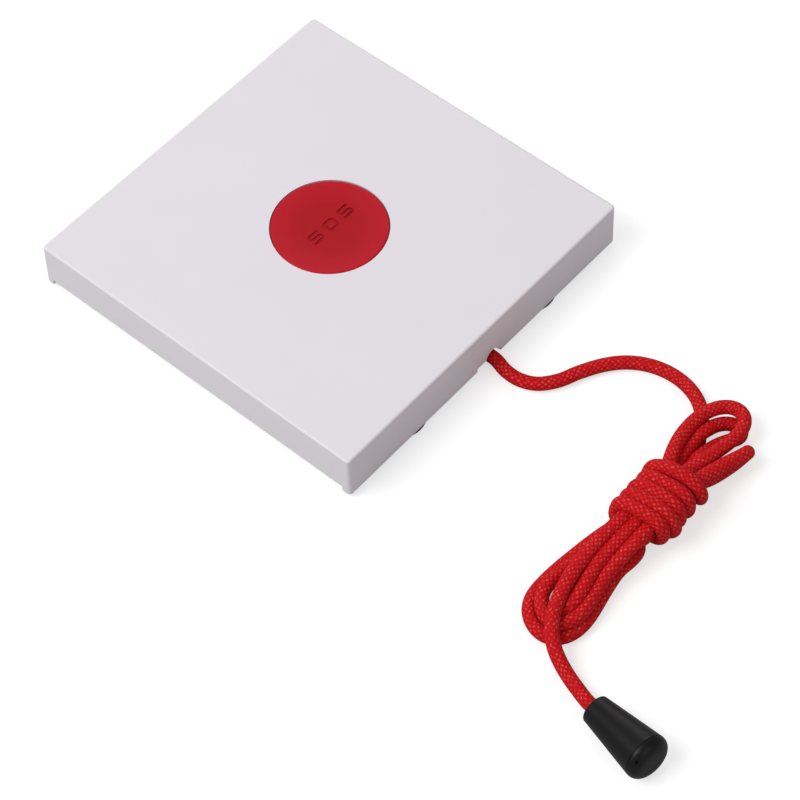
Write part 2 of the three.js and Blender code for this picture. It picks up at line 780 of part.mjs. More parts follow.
addPiece("front_cover", makeCover(), whitePlastic());
addPiece("back_plate", makeBackPlate(), basePlastic());
const footOutY = coverSide / 2 - footRadius;
[["front", -footOutY], ["back", footOutY]].forEach(([end, y]) => {
  [["left", -footSpacingX / 2], ["right", footSpacingX / 2]].forEach(([side, x]) => {
    addPiece(`foot_${end}_${side}`, disc(footRadius, [0, footHeight], x, y, 40), blackRubber());
  });
});
addPiece("circuit_board", makeBoard(), boardGreen());
boardScrewPlaces.forEach(([x, y], i) => {
  addPiece(`board_screw_${i + 1}`, makeScrew(x, y), steel());
});
addPiece("push_switch", makePushSwitch(), blackPlastic());
addPiece("pull_switch", makePullSwitch(), blackPlastic());
addPiece("battery_holder", makeHolder(), blackPlastic());
addPiece("battery_cell", makeCell(), steel());
addPiece("battery_clip", makeClip(), springSteel());
addPiece("radio_can", makeCan(), steel());

addPiece("button_cap", makeButtonCap(), redPlastic());
addPiece(
  "push_plunger",
  disc(plungerRadius, [switchTopZ - plungerGuide, buttonUnderZ], 0, 0, 32),
  whitePlastic(),
);
addPiece(
  "button_spring",
  coilSpring(buttonSpringRadius, boardTopZ + touchGap, buttonUnderZ - touchGap, buttonSpringTurns),
  springSteel(),
);

addPiece("pull_slider", makeSlider(), basePlastic());
const pullPlungerY = [pullPlungerTipY - pullPlungerLength, pullPlungerTipY];
addPiece(
  "pull_plunger",
  rodY(pullPlungerRadius, pullPlungerY, pullSwitchX, pullPlungerZ),
  whitePlastic(),
);
const pullSpring = addPiece(
  "pull_spring",
  coilSpring(pullSpringRadius, 0, pullSpringLength, pullSpringTurns),
  springSteel(),
);
pullSpring.rotation.x = -Math.PI / 2;
pullSpring.position.set(cordX, pullSpringFromY, cordPullZ);

const knot = addPiece("cord_knot", makeKnot(knotRadius), redBraid());
knot.position.set(cordX, knotY, cordPullZ);
addPiece("cord_run", carried(smooth(cordRun), cordRadius, 8, 44), redBraid());
addPiece("cord_hank", makeHank(), redBraid());
addPiece("cord_tail", carried(smooth(cordTail), cordRadius, 8, 12), redBraid());

const pullEnd = new THREE.Group();
pullEnd.quaternion.setFromUnitVectors(new THREE.Vector3(0, 0, 1), pullEndAxis);
pullEnd.position.copy(pullEndMouth);
root.add(pullEnd);
addPiece("pull_end", makePullEnd(), blackPlastic(), pullEnd);
addPiece("pull_end_plug", makePullEndPlug(), blackPlastic(), pullEnd);
const endKnot = addPiece("end_knot", makeKnot(endKnotRadius), redBraid(), pullEnd);
endKnot.position.z = endKnotAt;

export default root;
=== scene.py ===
import math
import bpy
import bmesh
import numpy as np
from mathutils import Matrix, Vector


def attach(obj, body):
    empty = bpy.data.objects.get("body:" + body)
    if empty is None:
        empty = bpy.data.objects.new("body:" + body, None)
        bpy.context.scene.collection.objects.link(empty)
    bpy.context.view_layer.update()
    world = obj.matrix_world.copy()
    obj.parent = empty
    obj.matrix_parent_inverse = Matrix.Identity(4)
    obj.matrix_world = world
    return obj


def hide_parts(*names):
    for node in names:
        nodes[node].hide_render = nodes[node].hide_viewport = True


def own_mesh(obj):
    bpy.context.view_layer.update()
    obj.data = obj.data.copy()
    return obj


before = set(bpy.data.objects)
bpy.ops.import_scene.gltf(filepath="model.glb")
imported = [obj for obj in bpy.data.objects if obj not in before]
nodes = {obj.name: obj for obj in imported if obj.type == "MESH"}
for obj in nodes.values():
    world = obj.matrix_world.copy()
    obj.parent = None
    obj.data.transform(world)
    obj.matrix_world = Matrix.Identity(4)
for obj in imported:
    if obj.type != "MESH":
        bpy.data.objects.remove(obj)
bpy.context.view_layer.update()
scene = bpy.context.scene
mm = 0.001
hair = 0.002 * mm  # points closer together than this become one
print("frame loaded:", len(nodes), "pieces")

# The view that the photo has, solved from the corners of the plate.
photoView = {
    "place": (-252.91, -246.84, 443.38),  # mm
    "turn": (35.491, 1.030, -49.365),  # degrees, from looking straight down
    "lens": 118.44,  # mm, as is the sensor
    "sensor": 36,
    "clip": (0.05, 20),  # metres
}


def addToScene(name, data):
    item = bpy.data.objects.new(name, data)
    scene.collection.objects.link(item)
    return item


def makeCamera(view):
    data = bpy.data.cameras.new("photoCamera")
    data.lens = view["lens"]
    data.sensor_width = view["sensor"]
    data.clip_start, data.clip_end = view["clip"]
    camera = addToScene("photoCamera", data)
    camera.location = Vector(view["place"]) * mm
    camera.rotation_euler = [math.radians(a) for a in view["turn"]]
    scene.camera = camera


makeCamera(photoView)
print("camera made")

# The cone and its plug lie on their side; all sizes here and below are in mm.
pullEnd = {
    "mouth": (-50.6, -111.45, 3.125),  # where the cord goes in
    "heading": -100.6,  # degrees from +X, seen from above
    "narrow": 3.1,  # radii at the mouth and at the wide end
    "wide": 5.15,
    "length": 16.5,
    "seam": 14.2,  # from the mouth to the joint of cone and plug
    "bore": 1.8,
    "boreLength": 3.2,
    "boreRounding": 0.25,
    "edge": 0.18,
    "sideTilt": -6,  # degrees, of the cone's side at its rounded edges
    "wall": 1.1,
    "groove": 0.05,  # between cone and plug
    "seamRounding": 0.08,
    "spigot": {"inset": 1.4, "length": 2.6},  # the part of the plug inside the cone
    "domePower": 0.5,  # below 1 the dome is flatter in its middle
    "sides": 96,
    "cordAt": (-2, 0, 2.4, 5.5),  # the cord's last points, from the mouth inwards
    "pinhole": {
        "at": 14.8, "outwards": (-0.76, 0, 0.65), "radius": 0.42, "depth": 1.0, "sides": 20,
    },
}
coneSlope = (pullEnd["wide"] - pullEnd["narrow"]) / pullEnd["length"]


def pullEndAxis():
    heading = math.radians(pullEnd["heading"])
    climb = math.asin(coneSlope)  # it lies on its side
    level = math.cos(climb)
    return Vector((math.cos(heading) * level, math.sin(heading) * level, math.sin(climb)))


def onPullEnd(at):
    return tuple(Vector(pullEnd["mouth"]) + pullEndAxis() * at)


pullCord = {
    "exit": (1.8, -43.0, 1.55),
    "diameter": 3.0,
    "step": 1.2,  # spacing of the points that settle
    "apart": 2.75,  # how close two stretches come to each other
    "rest": 1.5,  # height of its middle on the table
    "rounds": 160,
    "push": 0.25,  # share of an overlap that one round takes out
    "straighten": 0.18,  # pull of a bend towards straight, and of a point towards its first place
    "keepPlace": 0.02,
    "beside": 3,  # points this near to each other along the cord never push
    "heldEnds": (40, 9),  # points that stay put, in the cover and at the pull end
    "splineSteps": (0.4, 0.3),  # spacing of the drawn line, before and after it settles
    "ringStep": 0.45,
    "sides": 28,
    "ends": 8,  # stitches round the cord in each direction
    "stitch": 1.3,  # length of a stitch pair, coarser than the real braid so that it shows
}

hank = {
    "middleY": -93.1,
    "lowZ": 4.45,  # the two rows of strands in the neck
    "highZ": 7.0,
    "rowGap": 2.6,
    "neckX": (-15.0, -10.0, -5.0, -0.5),
    "turnHalfWidth": 5.5,
    "turnHalfHeight": 4.1,
    "turnMiddleZ": 5.7,
    "pointsPerQuarter": 3.5,
    "turnsBegin": {"quarter": -0.5, "x": 0.2},
    "turnsEnd": {"quarters": 1.4, "x": -0.8},  # past the far side of the last turn
}

# Where each turn round the neck crosses the near side, the top and the far side, in X,
# and how far out it lies there, over the turns beside it.
turns = [
    {"near": (-0.8, 0.9), "top": (-1.6, 1.4), "far": (-3.6, 0.9)},
    {"near": (-4.0, 0.0), "top": (-4.8, 0.0), "far": (-6.0, 0.0)},
    {"near": (-7.3, 0.3), "top": (-7.8, 0.4), "far": (-8.9, 0.5)},
    {"near": (-10.5, 1.6), "top": (-10.6, 0.5), "far": (-11.2, 0.0)},
    {"near": (-11.4, -0.2), "top": (-13.2, 0.1), "far": (-13.5, 0.2)},
]

# The route, in mm, in the order in which the cord runs.
fromSlider = [
    (1.8, -18, 5.5), (1.8, -24, 5.5), (1.8, -29.1, 5.4), (1.8, -31.8, 4.4),
    (1.8, -35.1, 2.45), (1.8, -38.2, 1.65), (1.8, -41.4, 1.55),
]
looseStretch = [
    (1.7, -44.2, 1.55), (0.8, -47.6, 1.55), (0.8, -51.1, 1.55), (2.3, -54.6, 1.55),
    (5.7, -57.5, 1.55), (10.2, -59.5, 1.55), (14.6, -61.7, 1.55), (18.6, -65, 1.55),
    (21.4, -69.6, 1.55), (22.5, -75, 1.55), (21.9, -79.9, 1.55), (19.7, -84.3, 1.55),
    (15.5, -87.6, 1.5), (10.5, -90.2, 1.5), (6.0, -93.2, 1.5), (2.6, -96.6, 1.6),
]
leftLoopOuter = [
    (-15.6, -96.3, 2.6), (-19.5, -95.7, 3.0), (-24.0, -95.5, 2.6), (-26.4, -96.0, 2.0),
    (-29.2, -96.4, 1.6), (-32.5, -97.1, 1.5), (-35.8, -97.6, 1.5), (-39.0, -97.5, 1.5),
    (-42.1, -96.7, 1.5), (-43.9, -95.4, 1.5), (-44.4, -93.1, 1.5), (-43.6, -90.0, 1.5),
    (-42.0, -87.6, 1.5), (-40.0, -86.1, 1.5), (-37.9, -85.6, 1.5), (-35.1, -85.7, 1.5),
    (-32.0, -85.9, 1.6), (-29.1, -86.5, 2.0), (-24.0, -88.2, 3.2),
]
rightLoopMiddle = [
    (4.4, -89.8, 4.5), (8.5, -88.9, 3.8), (12.5, -88.7, 3.1), (15.9, -88.9, 2.7),
    (18.4, -89.6, 2.3), (20.4, -91.2, 1.9), (21.0, -93.4, 1.5), (20.6, -95.6, 1.5),
    (18.6, -95.8, 1.5), (16.2, -93.4, 1.5), (13.2, -91.8, 1.5), (8.2, -91.6, 2.5),
    (3.4, -92.5, 3.9),
]
leftLoopMiddle = [
    (-20.5, -91.0, 3.9), (-24.5, -89.4, 3.6), (-28.2, -88.0, 3.5), (-30.8, -87.5, 3.6),
    (-34.0, -87.2, 3.8), (-36.9, -87.2, 3.8), (-39.0, -88.1, 3.7), (-40.7, -89.7, 3.4),
    (-42.0, -92.0, 3.3), (-42.1, -94.2, 3.3), (-40.9, -95.7, 3.2), (-38.9, -96.5, 3.2),
    (-36.6, -96.9, 3.4), (-34.1, -96.6, 3.6), (-31.4, -95.9, 3.8), (-28.9, -95.1, 4.2),
    (-26.0, -94.7, 5.0), (-20.5, -95.2, 6.2),
]
rightLoopSide = [
    (2.3, -96.4, 6.6), (7.2, -97.5, 6.2), (11.4, -98.8, 5.7), (14.0, -99.6, 5.2),
    (16.0, -99.5, 4.3), (16.8, -98.7, 3.0), (15.9, -98.2, 1.8), (13.4, -98.0, 1.5),
    (9.0, -97.2, 1.6), (4.2, -96.4, 2.6),
]
leftLoopInner = [
    (-19.5, -93.6, 3.9), (-23.5, -92.0, 3.2), (-27.6, -91.0, 2.2), (-31.0, -90.5, 1.6),
    (-34.0, -90.6, 1.5), (-36.8, -91.2, 1.6), (-38.8, -92.2, 2.1), (-39.8, -93.5, 3.0),
    (-39.5, -94.7, 3.9), (-38.0, -95.5, 4.4), (-35.9, -95.3, 4.7), (-33.4, -94.6, 5.0),
    (-31.0, -93.9, 5.3), (-27.9, -92.9, 5.6), (-23.0, -92.8, 6.2),
]
rightLoopTop = [
    (2.8, -93.4, 6.9), (6.3, -94.2, 6.3), (12.8, -95.1, 5.2), (18.3, -95.6, 4.6),
    (20.8, -95.0, 4.4), (22.7, -93.2, 4.3), (22.9, -90.5, 4.3), (20.9, -88.2, 4.5),
    (16.9, -86.6, 4.9), (11.7, -86.4, 5.6), (6.0, -87.3, 6.2), (1.6, -89.3, 6.8),
]
tail = [
    (-18.8, -90.6, 7.0), (-24.0, -90.0, 7.0), (-29.1, -90.2, 6.8), (-33.4, -90.8, 6.6),
    (-37.5, -91.8, 6.3), (-40.9, -93.1, 5.8), (-43.8, -94.8, 5.2), (-45.7, -97.0, 4.0),
    (-46.9, -99.8, 2.6), (-48.0, -103.0, 1.9), (-49.0, -106.2, 2.0),
]


def neckStrand(column, z, rightwards):
    y = hank["middleY"] + column * hank["rowGap"]
    xs = hank["neckX"] if rightwards else reversed(hank["neckX"])
    return [(x, y, z) for x in xs]


def turnsRoundNeck():
    begin, end = hank["turnsBegin"], hank["turnsEnd"]
    quarters, xs, outs = [begin["quarter"]], [begin["x"]], [0.0]
    for i, turn in enumerate(turns):
        for k, side in enumerate(("near", "top", "far")):
            quarters.append(4 * i + k)
            xs.append(turn[side][0])
            outs.append(turn[side][1])
    quarters.append(quarters[-1] + end["quarters"])
    xs.append(xs[-1] + end["x"])
    outs.append(0.0)
    points = []
    for quarter in np.arange(quarters[0], quarters[-1], 1 / hank["pointsPerQuarter"]):
        angle = math.pi * (1 - quarter / 2)
        out = np.interp(quarter, quarters, outs)
        points.append((
            np.interp(quarter, quarters, xs),
            hank["middleY"] + (hank["turnHalfWidth"] + out) * math.cos(angle),
            hank["turnMiddleZ"] + (hank["turnHalfHeight"] + out) * math.sin(angle),
        ))
    return points


def cordRoute():
    low, high = hank["lowZ"], hank["highZ"]
    return (
        fromSlider + looseStretch + turnsRoundNeck() + leftLoopOuter
        + neckStrand(1, low, True) + rightLoopMiddle + neckStrand(0, low, False)
        + leftLoopMiddle + neckStrand(-1, high, True) + rightLoopSide
        + neckStrand(-1, low, False) + leftLoopInner + neckStrand(0, high, True)
        + rightLoopTop + neckStrand(1, high, False) + tail
        + [onPullEnd(at) for at in pullEnd["cordAt"]]
    )


# A centripetal spline through the points, with a new point about every spacing.
def splineThrough(points, spacing):
    points = np.array(points, float)
    padded = np.vstack([2 * points[0] - points[1], points, 2 * points[-1] - points[-2]])
    line = []
    for p0, p1, p2, p3 in zip(padded, padded[1:], padded[2:], padded[3:]):
        t0 = 0
        t1 = t0 + np.linalg.norm(p1 - p0) ** 0.5
        t2 = t1 + np.linalg.norm(p2 - p1) ** 0.5
        t3 = t2 + np.linalg.norm(p3 - p2) ** 0.5
        count = max(2, int(np.linalg.norm(p2 - p1) / spacing) + 1)
        for t in np.linspace(t1, t2, count, endpoint=False):
            a = ((t1 - t) * p0 + (t - t0) * p1) / (t1 - t0)
            b = ((t2 - t) * p1 + (t - t1) * p2) / (t2 - t1)
            c = ((t3 - t) * p2 + (t - t2) * p3) / (t3 - t2)
            ab = ((t2 - t) * a + (t - t0) * b) / (t2 - t0)
            bc = ((t3 - t) * b + (t - t1) * c) / (t3 - t1)
            line.append(((t2 - t) * ab + (t - t1) * bc) / (t2 - t1))
    line.append(points[-1])
    return np.array(line)


def evenlySpaced(line, spacing):
    along = np.concatenate([[0], np.cumsum(np.linalg.norm(np.diff(line, axis=0), axis=1))])
    wanted = np.linspace(0, along[-1], int(round(along[-1] / spacing)) + 1)
    return np.stack([np.interp(wanted, along, line[:, k]) for k in range(3)], axis=1)


# Stretches that overlap push apart until they rest against each other and on the table.
def settle(line, held):
    home, now = line.copy(), line.copy()
    order = np.arange(len(line))
    neighbours = np.abs(order[:, None] - order[None, :]) <= pullCord["beside"]
    for _ in range(pullCord["rounds"]):
        between = now[:, None, :] - now[None, :, :]
        distance = np.sqrt((between ** 2).sum(-1)) + 1e-9
        overlap = np.clip(pullCord["apart"] - distance, 0, None)
        overlap[neighbours] = 0
        push = (between * (overlap / distance)[..., None]).sum(1) * pullCord["push"]
        push /= np.sqrt(np.maximum(1, (overlap > 0).sum(1)))[:, None]
        bend = np.zeros_like(now)
        bend[1:-1] = (now[:-2] + now[2:]) / 2 - now[1:-1]
        now = now + push + pullCord["straighten"] * bend + pullCord["keepPlace"] * (home - now)
        now[:, 2] = np.maximum(now[:, 2], pullCord["rest"])
        now[:held[0]] = home[:held[0]]
        now[-held[1]:] = home[-held[1]:]
    return now


# Rings carried along the line without twist; U counts the stitches round the cord, V along it.
def makeCordMesh(line):
    radius = pullCord["diameter"] / 2
    sides = pullCord["sides"]
    along = np.concatenate([[0], np.cumsum(np.linalg.norm(np.diff(line, axis=0), axis=1))])
    tangents = np.gradient(line, axis=0)
    tangents /= np.linalg.norm(tangents, axis=1)[:, None]
    normal = Vector((1, 0, 0))
    mesh = bmesh.new()
    uvLayer = mesh.loops.layers.uv.new("stitches")
    rings = []
    for place, tangent in zip(line, tangents):
        tangent = Vector(tangent)
        normal = (normal - tangent * normal.dot(tangent)).normalized()
        side = tangent.cross(normal)
        ring = []
        for i in range(sides):
            angle = 2 * math.pi * i / sides
            out = normal * math.cos(angle) + side * math.sin(angle)
            ring.append(mesh.verts.new((Vector(place) + out * radius) * mm))
        rings.append(ring)
    for k, (ring, following) in enumerate(zip(rings, rings[1:])):
        for i in range(sides):
            j = (i + 1) % sides
            face = mesh.faces.new((ring[i], ring[j], following[j], following[i]))
            face.smooth = True
            corners = [(i, k), (i + 1, k), (i + 1, k + 1), (i, k + 1)]
            for loop, (turn, row) in zip(face.loops, corners):
                loop[uvLayer].uv = (
                    turn / sides * pullCord["ends"],
                    along[row] / pullCord["stitch"],
                )
    for end in (rings[0], rings[-1]):
        mesh.faces.new(end)
    bmesh.ops.recalc_face_normals(mesh, faces=mesh.faces)
    data = bpy.data.meshes.new("pullCord")
    mesh.to_mesh(data)
    mesh.free()
    return data


def makeCord():
    before, after = pullCord["splineSteps"]
    coarse = evenlySpaced(splineThrough(cordRoute(), before), pullCord["step"])
    settled = settle(coarse, pullCord["heldEnds"])
    line = evenlySpaced(splineThrough(settled, after), pullCord["ringStep"])
    length = np.linalg.norm(np.diff(line, axis=0), axis=1).sum() * mm
    print("cord length", round(float(length), 4), "m")
    cord = addToScene("pullCord", makeCordMesh(line))
    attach(cord, "pull")
    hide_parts("cord_run", "cord_hank", "cord_tail")
    return cord, line, length


cord, cordLine, cordLength = makeCord()
print("cord made")


# A profile of (radius, height) in mm, spun round Z, then placed.
def turnedPiece(name, profile, sides, place=Matrix.Identity(4)):
    mesh = bmesh.new()
    verts = [mesh.verts.new((r * mm, 0, z * mm)) for r, z in profile]
    edges = [mesh.edges.new(pair) for pair in zip(verts, verts[1:])]
    bmesh.ops.spin(
        mesh, geom=verts + edges, axis=(0, 0, 1), cent=(0, 0, 0),
        angle=2 * math.pi, steps=sides, use_merge=True,
    )
    bmesh.ops.remove_doubles(mesh, verts=mesh.verts, dist=hair)
    bmesh.ops.recalc_face_normals(mesh, faces=mesh.faces)
    bmesh.ops.transform(mesh, matrix=place, verts=mesh.verts)
    data = bpy.data.meshes.new(name)
    mesh.to_mesh(data)
    mesh.free()
    return addToScene(name, data)


def arc(centre, radius, fromDegrees, toDegrees, steps):
    sweep = toDegrees - fromDegrees
    angles = [math.radians(fromDegrees + sweep * i / steps) for i in range(steps + 1)]
    return [(centre[0] + radius * math.cos(a), centre[1] + radius * math.sin(a)) for a in angles]


# Adds a node, sets its settings and fills its inputs with values or with other nodes' outputs.
def addNode(tree, kind, inputs=None, **settings):
    node = tree.nodes.new(kind)
    for name, value in settings.items():
        setattr(node, name, value)
    for socket, value in (inputs or {}).items():
        if isinstance(value, bpy.types.NodeSocket):
            tree.links.new(value, node.inputs[socket])
        else:
            node.inputs[socket].default_value = value
    return node


# Faces that meet at less than the angle shade as one surface.
def makeSmoothing(name, degrees):
    group = bpy.data.node_groups.new(name, "GeometryNodeTree")
    group.interface.new_socket("Geometry", in_out="INPUT", socket_type="NodeSocketGeometry")
    group.interface.new_socket("Geometry", in_out="OUTPUT", socket_type="NodeSocketGeometry")
    start = addNode(group, "NodeGroupInput")
    joined = addNode(group, "GeometryNodeMergeByDistance", {
        "Geometry": start.outputs[0], "Distance": hair,
    })
    angle = addNode(group, "GeometryNodeInputMeshEdgeAngle")
    sharp = addNode(group, "FunctionNodeCompare", {
        0: angle.outputs["Unsigned Angle"], 1: math.radians(degrees),
    }, operation="GREATER_THAN")
    smooth = addNode(group, "GeometryNodeSetShadeSmooth", {
        "Geometry": joined.outputs[0], "Shade Smooth": True,
    }, domain="FACE")
    creased = addNode(group, "GeometryNodeSetShadeSmooth", {
        "Geometry": smooth.outputs[0], "Selection": sharp.outputs[0], "Shade Smooth": False,
    }, domain="EDGE")
    addNode(group, "NodeGroupOutput", {0: creased.outputs[0]})
    return group


smoothing = makeSmoothing("smoothBelowAngle", 32)


def shadeSmoothly(piece):
    modifier = piece.modifiers.new("smoothing", "NODES")
    modifier.node_group = smoothing
    weighted = piece.modifiers.new("faceWeights", "WEIGHTED_NORMAL")
    weighted.keep_sharp = True


# The cap keeps the collar, flange and keys of the CAD; its face is dished and has the letters.
cap = {
    "radius": 12.7,
    "topZ": 12.3,
    "dish": 0.35,
    "edge": 0.4,
    "sides": 128,
    "underZ": 10.4,
    "bossInside": 6,
    "bossOutside": 6.8,
    "wallInside": 11.2,
    "flangeRadius": 14,
    "flangeZ": (9.4, 10.0),
    "keyWidth": 2.8,
    "keyReach": 15.2,
    "keyOverlap": 0.6,  # how far a key runs into the flange
}
letters = {
    "width": 3.1,
    "height": 2.95,
    "stroke": 0.7,
    "chamfer": 0.5,
    "pitch": 4.65,
    "middle": (0.75, 0.3),
    "floorZ": 11.78,
    "cutterHalf": 1.0,  # half the height of the solid letters that cut
}


def capProfile():
    rim = cap["radius"] - cap["edge"]
    low, high = cap["flangeZ"]
    profile = [
        (0, cap["underZ"]), (cap["bossInside"], cap["underZ"]), (cap["bossInside"], low),
        (cap["bossOutside"], low), (cap["bossOutside"], cap["underZ"]),
        (cap["wallInside"], cap["underZ"]), (cap["wallInside"], low),
        (cap["flangeRadius"], low), (cap["flangeRadius"], high), (cap["radius"], high),
    ]
    profile += arc((rim, cap["topZ"] - cap["edge"]), cap["edge"], 0, 90, 6)
    steps = 16
    for i in range(1, steps + 1):
        share = 1 - i / steps
        profile.append((rim * share, cap["topZ"] - cap["dish"] * (1 - share ** 2)))
    return profile


def letterS():
    w, h, t, c = letters["width"], letters["height"], letters["stroke"], letters["chamfer"]
    half, lower, upper = h / 2, h / 2 - t / 2, h / 2 + t / 2
    return [[
        (0, 0), (w - c, 0), (w, c), (w, upper - c), (w - c, upper), (t, upper), (t, h - t),
        (w, h - t), (w, h), (c, h), (0, h - c), (0, lower + c), (c, lower), (w - t, lower),
        (w - t, t), (0, t),
    ]]


def letterO():
    w, h, t, c = letters["width"], letters["height"], letters["stroke"], letters["chamfer"]
    outer = [(c, 0), (w - c, 0), (w, c), (w, h - c), (w - c, h), (c, h), (0, h - c), (0, c)]
    inner = [(t, t), (t, h - t), (w - t, h - t), (w - t, t)]
    return [outer, inner]


# Solid letters that are cut out of the cap's face.
def letterCutter():
    curve = bpy.data.curves.new("letterCutter", "CURVE")
    curve.dimensions = "2D"
    curve.fill_mode = "BOTH"
    curve.extrude = letters["cutterHalf"] * mm
    for column, outlines in enumerate((letterS(), letterO(), letterS())):
        left = letters["middle"][0] + (column - 1) * letters["pitch"] - letters["width"] / 2
        low = letters["middle"][1] - letters["height"] / 2
        for outline in outlines:
            spline = curve.splines.new("POLY")
            spline.points.add(len(outline) - 1)
            for point, (x, y) in zip(spline.points, outline):
                point.co = ((left + x) * mm, (low + y) * mm, 0, 1)
            spline.use_cyclic_u = True
    shape = addToScene("letterShape", curve)
    data = bpy.data.meshes.new_from_object(shape)
    bpy.data.objects.remove(shape)
    middleZ = letters["floorZ"] + letters["cutterHalf"]
    data.transform(Matrix.Translation((0, 0, middleZ * mm)))
    return addToScene("letterCutter", data)


# The piece gets its modifiers' result as its own mesh.
def applyModifiers(piece):
    bpy.context.view_layer.update()
    evaluated = piece.evaluated_get(bpy.context.evaluated_depsgraph_get())
    data = bpy.data.meshes.new_from_object(evaluated)
    piece.modifiers.clear()
    piece.data = data


def cutOrJoin(piece, other, operation):
    modifier = piece.modifiers.new("boolean", "BOOLEAN")
    modifier.operation = operation
    modifier.object = other
    modifier.solver = "EXACT"
    applyModifiers(piece)
    bpy.data.objects.remove(other)


def keyBlock(x):
    mesh = bmesh.new()
    bmesh.ops.create_cube(mesh, size=1)
    low, high = cap["flangeZ"]
    size = (x[1] - x[0], cap["keyWidth"], high - low)
    middle = ((x[0] + x[1]) / 2, 0, (low + high) / 2)
    bmesh.ops.scale(mesh, vec=Vector(size) * mm, verts=mesh.verts)
    bmesh.ops.translate(mesh, vec=Vector(middle) * mm, verts=mesh.verts)
    data = bpy.data.meshes.new("capKey")
    mesh.to_mesh(data)
    mesh.free()
    return addToScene("capKey", data)


def makeCap():
    piece = turnedPiece("buttonCap", capProfile(), cap["sides"])
    inner = cap["flangeRadius"] - cap["keyOverlap"]
    for x in ((-cap["keyReach"], -inner), (inner, cap["keyReach"])):
        cutOrJoin(piece, keyBlock(x), "UNION")
    cutOrJoin(piece, letterCutter(), "DIFFERENCE")
    shadeSmoothly(piece)
    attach(piece, "button")
    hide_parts("button_cap")
    return piece


buttonCap = makeCap()
print("button cap made")


# Takes a piece that stands on the origin to where the pull end lies.
def pullEndPlace():
    turn = Vector((0, 0, 1)).rotation_difference(pullEndAxis()).to_matrix().to_4x4()
    return Matrix.Translation(Vector(pullEnd["mouth"]) * mm) @ turn


def coneRadius(at):
    return pullEnd["narrow"] + coneSlope * at


def makePullCone():
    seam, edge, bore, wall = (pullEnd[key] for key in ("seam", "edge", "bore", "wall"))
    inside, lip, fine = pullEnd["boreLength"], pullEnd["boreRounding"], pullEnd["seamRounding"]
    tilt = pullEnd["sideTilt"]
    rim = coneRadius(seam)
    profile = [(bore, inside), (bore, lip)]
    profile += arc((bore + lip, lip), lip, 180, 270, 3)
    profile += arc((pullEnd["narrow"] - edge, edge), edge, -90, tilt, 5)
    profile += arc((rim - fine, seam - fine), fine, tilt, 90, 3)
    profile += [(rim - wall, seam), (coneRadius(inside) - wall, inside), (bore, inside)]
    piece = turnedPiece("pullCone", profile, pullEnd["sides"], pullEndPlace())
    shadeSmoothly(piece)
    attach(piece, "pull")
    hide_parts("pull_end")
    return piece


# A small round pit in the side of the plug that faces the camera.
def pinholeCutter():
    hole = pullEnd["pinhole"]
    mesh = bmesh.new()
    bmesh.ops.create_cone(
        mesh, cap_ends=True, segments=hole["sides"], radius1=hole["radius"],
        radius2=hole["radius"], depth=2 * hole["depth"],
    )
    bmesh.ops.scale(mesh, vec=(mm, mm, mm), verts=mesh.verts)
    data = bpy.data.meshes.new("pinholeCutter")
    mesh.to_mesh(data)
    mesh.free()
    cutter = addToScene("pinholeCutter", data)
    outwards = Vector(hole["outwards"]).normalized()
    turn = Vector((0, 0, 1)).rotation_difference(outwards).to_matrix().to_4x4()
    centre = Vector(onPullEnd(hole["at"])) + outwards * coneRadius(hole["at"])
    data.transform(Matrix.Translation(centre * mm) @ turn)
    return cutter


def makePullPlug():
    spigot, fine = pullEnd["spigot"], pullEnd["seamRounding"]
    start = pullEnd["seam"] + pullEnd["groove"]
    wide = coneRadius(pullEnd["seam"])
    inner, foot = wide - spigot["inset"], start - spigot["length"]
    profile = [(0, foot), (inner, foot), (inner, start), (wide - fine, start)]
    dome = start + fine
    steps = 18
    for i in range(steps + 1):
        angle = math.pi / 2 * i / steps
        profile.append((
            wide * math.cos(angle) ** pullEnd["domePower"] if i < steps else 0,
            dome + (pullEnd["length"] - dome) * math.sin(angle),
        ))
    piece = turnedPiece("pullPlug", profile, pullEnd["sides"], pullEndPlace())
    cutOrJoin(piece, pinholeCutter(), "DIFFERENCE")
    shadeSmoothly(piece)
    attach(piece, "pull")
    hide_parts("pull_end_plug")
    return piece


pullCone = makePullCone()
pullPlug = makePullPlug()
print("pull end made")


# An sRGB hex colour as linear light.
def linear(hexColour):
    channels = [int(hexColour[i:i + 2], 16) / 255 for i in (1, 3, 5)]
    light = [c / 12.92 if c <= 0.04045 else ((c + 0.055) / 1.055) ** 2.4 for c in channels]
    return tuple(light) + (1,)


def newMaterial(name):
    material = bpy.data.materials.new(name)
    material.use_nodes = True
    tree = material.node_tree
    return material, tree, tree.nodes["Principled BSDF"]


def calculate(tree, a, b, operation="ADD"):
    return addNode(tree, "ShaderNodeMath", {0: a, 1: b}, operation=operation).outputs[0]


# Colour between two others, each of them a hex colour or another node's output.
def blendColours(tree, factor, a, b):
    a, b = (linear(c) if isinstance(c, str) else c for c in (a, b))
    return addNode(tree, "ShaderNodeMix", {0: factor, 6: a, 7: b}, data_type="RGBA").outputs[2]


def places(tree):
    return addNode(tree, "ShaderNodeTexCoord").outputs["Object"]


# Noise whose patches are about this many mm across.
def noise(tree, size, detail):
    return addNode(tree, "ShaderNodeTexNoise", {
        "Vector": places(tree), "Scale": 1 / (size * mm), "Detail": detail,
    }).outputs[0]


def bump(tree, height, depth):
    return addNode(tree, "ShaderNodeBump", {
        "Height": height, "Distance": depth * mm, "Strength": 1,
    }).outputs[0]


